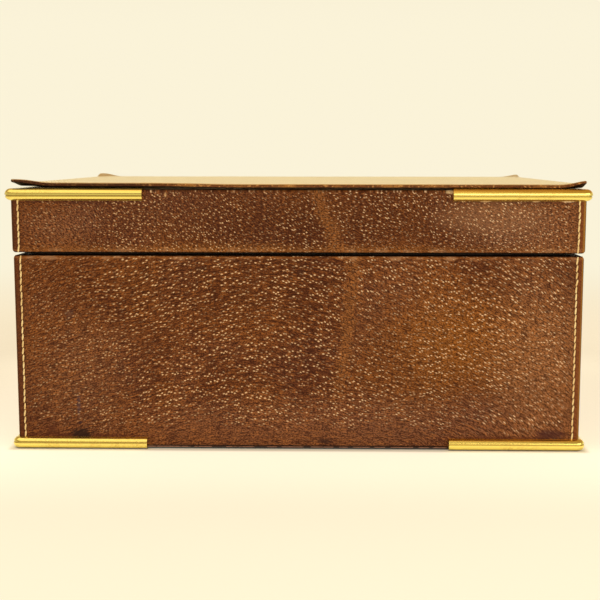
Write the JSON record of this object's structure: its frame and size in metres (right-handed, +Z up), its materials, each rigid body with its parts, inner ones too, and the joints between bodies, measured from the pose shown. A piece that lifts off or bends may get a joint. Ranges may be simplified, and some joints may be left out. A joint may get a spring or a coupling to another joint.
{
  "type": "humidor",
  "caption": "Pigskin-covered cigar humidor with a hinged lid, brass corner mouldings, cedar lining, lift-out tray and a humidifier under the lid.",
  "frame": {"origin": "on the table, under the middle of the case", "axes": "+Z up, the front faces -Y, +X to the right as seen from the front"},
  "size_m": [0.3072, 0.2372, 0.1442],
  "materials": {
    "side_leather": "pigskin with a light grain and a low sheen",
    "top_leather": "pigskin with a light grain and a low sheen",
    "base_leather": "plain leather, undyed at the edge",
    "brass_mouldings": "polished and lacquered",
    "brass_hinges": "satin",
    "brass_fixings": "satin",
    "brass_sheet": "satin",
    "cedar": "bare, planed",
    "boards": "bare, hidden under leather and lining",
    "sponge": "open-pored foam"
  },
  "bodies": {
    "case": {"body_front_board": "boards", "body_right_board": "boards", "body_back_board": "boards", "body_left_board": "boards", "body_bottom_board": "boards", "body_leather_front": "side_leather", "body_leather_right": "side_leather", "body_leather_back": "side_leather", "body_leather_left": "side_leather", "base_leather": "base_leather", "base_trim_front_left": "brass_mouldings", "base_trim_front_right": "brass_mouldings", "base_trim_back_right": "brass_mouldings", "base_trim_back_left": "brass_mouldings", "base_trim_screws": "brass_fixings", "liner_front": "cedar", "liner_right": "cedar", "liner_back": "cedar", "liner_left": "cedar", "liner_floor": "cedar", "tray_rests": "cedar", "hinge_left_body_leaf": "brass_hinges", "hinge_right_body_leaf": "brass_hinges", "hinge_pins": "brass_fixings", "hinge_body_screws": "brass_fixings"},
    "lid": {"lid_front_board": "boards", "lid_right_board": "boards", "lid_back_board": "boards", "lid_left_board": "boards", "lid_top_board": "boards", "lid_leather_front": "side_leather", "lid_leather_right": "side_leather", "lid_leather_back": "side_leather", "lid_leather_left": "side_leather", "top_sheet": "top_leather", "lid_trim_front_left": "brass_mouldings", "lid_trim_front_right": "brass_mouldings", "lid_trim_back_right": "brass_mouldings", "lid_trim_back_left": "brass_mouldings", "lid_trim_screws": "brass_fixings", "lid_liner_front": "cedar", "lid_liner_right": "cedar", "lid_liner_back": "cedar", "lid_liner_left": "cedar", "lid_ceiling": "cedar", "hinge_left_lid_leaf": "brass_hinges", "hinge_right_lid_leaf": "brass_hinges", "hinge_lid_screws": "brass_fixings", "humidifier_case": "brass_sheet", "humidifier_grille": "brass_sheet", "humidifier_sponge": "sponge", "humidifier_screws": "brass_fixings"},
    "tray": {"tray_front": "cedar", "tray_right": "cedar", "tray_back": "cedar", "tray_left": "cedar", "tray_floor": "cedar"},
    "tray_divider": {"tray_divider": "cedar"},
    "shutter": {"humidifier_shutter": "brass_sheet"}
  },
  "joints": [
    {"name": "lid_hinge", "type": "hinge", "parent": "case", "child": "lid", "pos_m": [0, 0.1134, 0.1047], "axis": [-1, 0, 0], "range_deg": [0, 95]},
    {"name": "tray_lift", "type": "slide", "parent": "case", "child": "tray", "axis": [0, 0, 1], "range_m": [0, 0.014]},
    {"name": "tray_divider_lift", "type": "slide", "parent": "tray", "child": "tray_divider", "axis": [0, 0, 1], "range_m": [0, 0.01]},
    {"name": "shutter_slide", "type": "slide", "parent": "lid", "child": "shutter", "axis": [1, 0, 0], "range_m": [0, 0.0045]}
  ]
}
